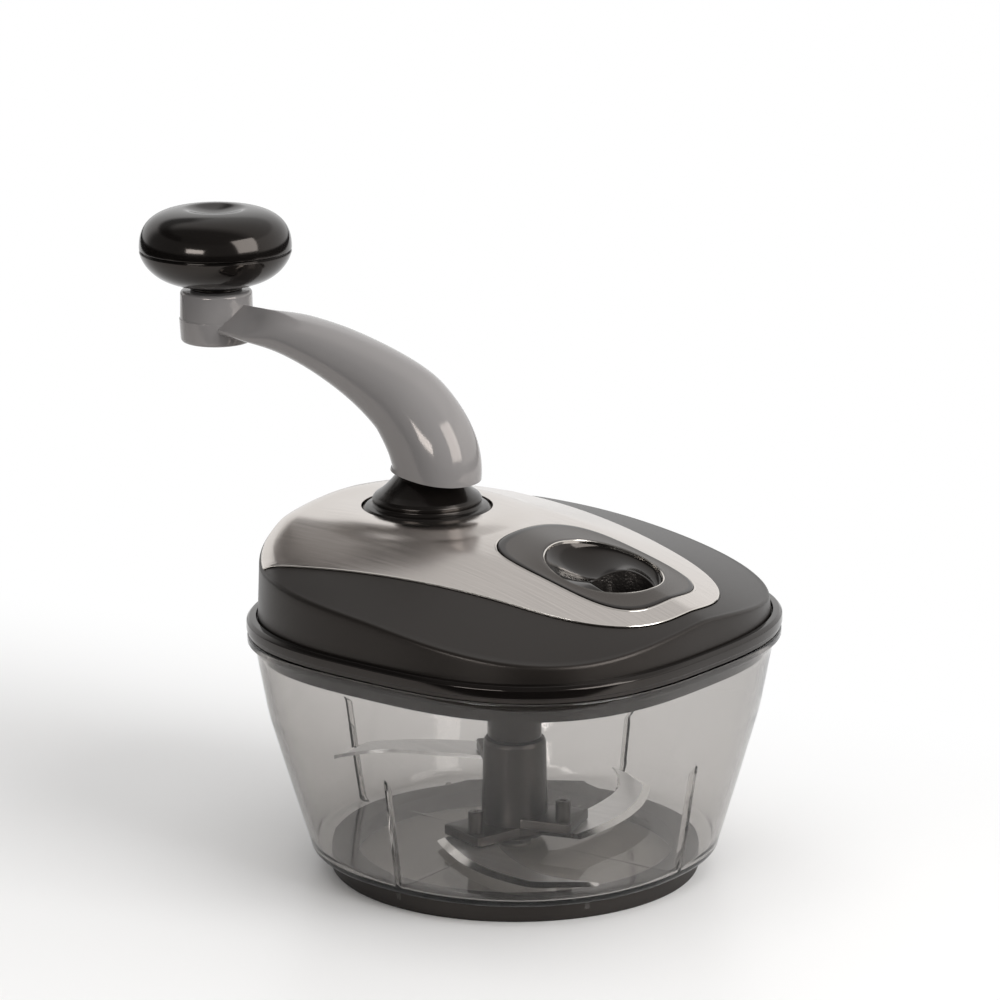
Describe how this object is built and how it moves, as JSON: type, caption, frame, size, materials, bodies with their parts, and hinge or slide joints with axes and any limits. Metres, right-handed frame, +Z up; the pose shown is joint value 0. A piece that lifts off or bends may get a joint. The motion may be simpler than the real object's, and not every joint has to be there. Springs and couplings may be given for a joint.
{
  "type": "crank food chopper",
  "caption": "Hand-cranked food chopper: clear rounded-square bowl on a non-slip ring, geared lid with crank arm and knob, filling cup, and a column of curved blades.",
  "frame": {"origin": "on the surface the bowl stands on, under the crank's axis, which is also the middle of the footprint's length", "axes": "+Z up, +X from the crank towards the filling cup, so that the crank arm at rest points to -X"},
  "size_m": [0.2381, 0.162, 0.2078],
  "materials": {
    "clear_plastic": "clear smoky polished",
    "gloss_black_plastic": "polished moulded",
    "black_plastic": "fine-grained satin",
    "grey_plastic": "polished moulded",
    "foot_rubber": "moulded",
    "brushed_plate": "brushed along its length",
    "steel": "satin",
    "brass": "turned",
    "white_acetal": "moulded"
  },
  "bodies": {
    "bowl": {"bowl": "clear_plastic", "foot_ring": "foot_rubber", "pivot_pin": "steel"},
    "lid": {"lid_base": "gloss_black_plastic", "lid_housing": "black_plastic", "cover_plate": "brushed_plate", "filler_trim": "black_plastic", "filler_cup": "gloss_black_plastic", "sleeve_bush": "brass", "crank_bush": "brass", "lid_screw_1": "steel", "lid_screw_2": "steel", "lid_screw_3": "steel", "lid_screw_4": "steel"},
    "pinion": {"pinion": "white_acetal"},
    "blades": {"blade_column": "black_plastic", "blade_lower": "steel", "blade_post_lower": "black_plastic", "blade_middle": "steel", "blade_post_middle": "black_plastic", "blade_upper": "steel", "blade_post_upper": "black_plastic"},
    "crank": {"crank_arm": "grey_plastic", "crank_collar": "gloss_black_plastic", "crank_shaft": "steel", "drive_gear": "white_acetal", "gear_washer": "steel", "gear_screw": "steel", "knob_axle": "steel"},
    "knob": {"knob_base": "gloss_black_plastic", "knob_cap": "gloss_black_plastic"}
  },
  "joints": [
    {"name": "lid_lift", "type": "slide", "parent": "bowl", "child": "lid", "axis": [0, 0, 1], "range_m": [0, 0.06]},
    {"name": "crank_turn", "type": "hinge", "parent": "lid", "child": "crank", "pos_m": [0, 0, 0.12], "axis": [0, 0, 1], "continuous": true},
    {"name": "knob_turn", "type": "hinge", "parent": "crank", "child": "knob", "pos_m": [-0.0932, 0, 0.19], "axis": [0, 0, 1], "continuous": true},
    {"name": "pinion_turn", "type": "hinge", "parent": "lid", "child": "pinion", "pos_m": [0.0375, 0, 0.0945], "axis": [0, 0, 1], "continuous": true},
    {"name": "blades_turn", "type": "hinge", "parent": "bowl", "child": "blades", "pos_m": [0.0375, 0, 0.02], "axis": [0, 0, 1], "continuous": true}
  ],
  "couplings": [
    {"joint": "pinion_turn", "follows": "crank_turn", "ratio": -3},
    {"joint": "blades_turn", "follows": "crank_turn", "ratio": -3}
  ]
}
